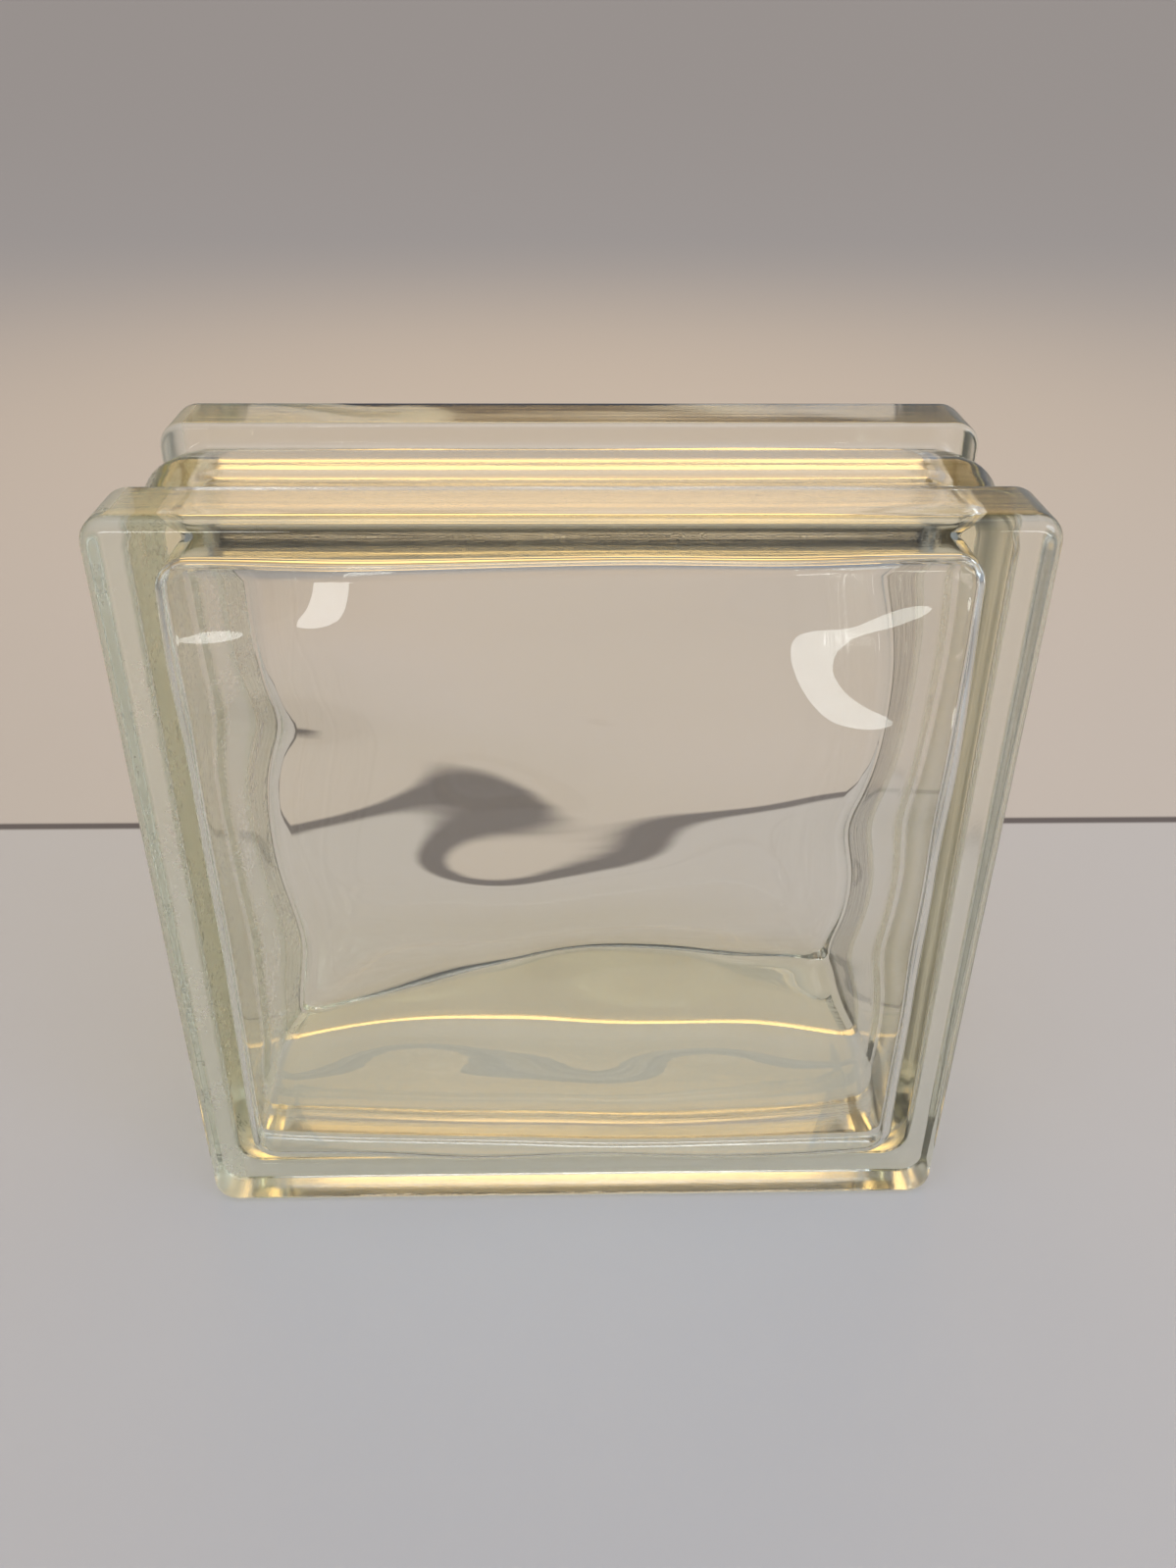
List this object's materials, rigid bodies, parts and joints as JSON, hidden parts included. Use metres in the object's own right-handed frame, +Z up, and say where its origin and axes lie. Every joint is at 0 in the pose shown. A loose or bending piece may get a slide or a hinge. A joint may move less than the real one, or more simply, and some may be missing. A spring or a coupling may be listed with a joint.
{
  "type": "glass block",
  "caption": "Square hollow building block of clear pressed glass with flat faces, wavy inner panes, thick rims and a mortar channel round the edge; lets light through a wall.",
  "frame": {"origin": "middle of the block's footprint, on the floor under its bottom rims", "axes": "+Z up, +X along the width, the front face looks along -Y"},
  "size_m": [0.19, 0.08, 0.19],
  "materials": {
    "clear_glass": "clear pressed soda-lime glass, fire-polished faces, faint yellow-green tint in the thick rims, scuffed mould marks on the edges"
  },
  "bodies": {
    "root": {"glass_block": "clear_glass"}
  },
  "joints": []
}
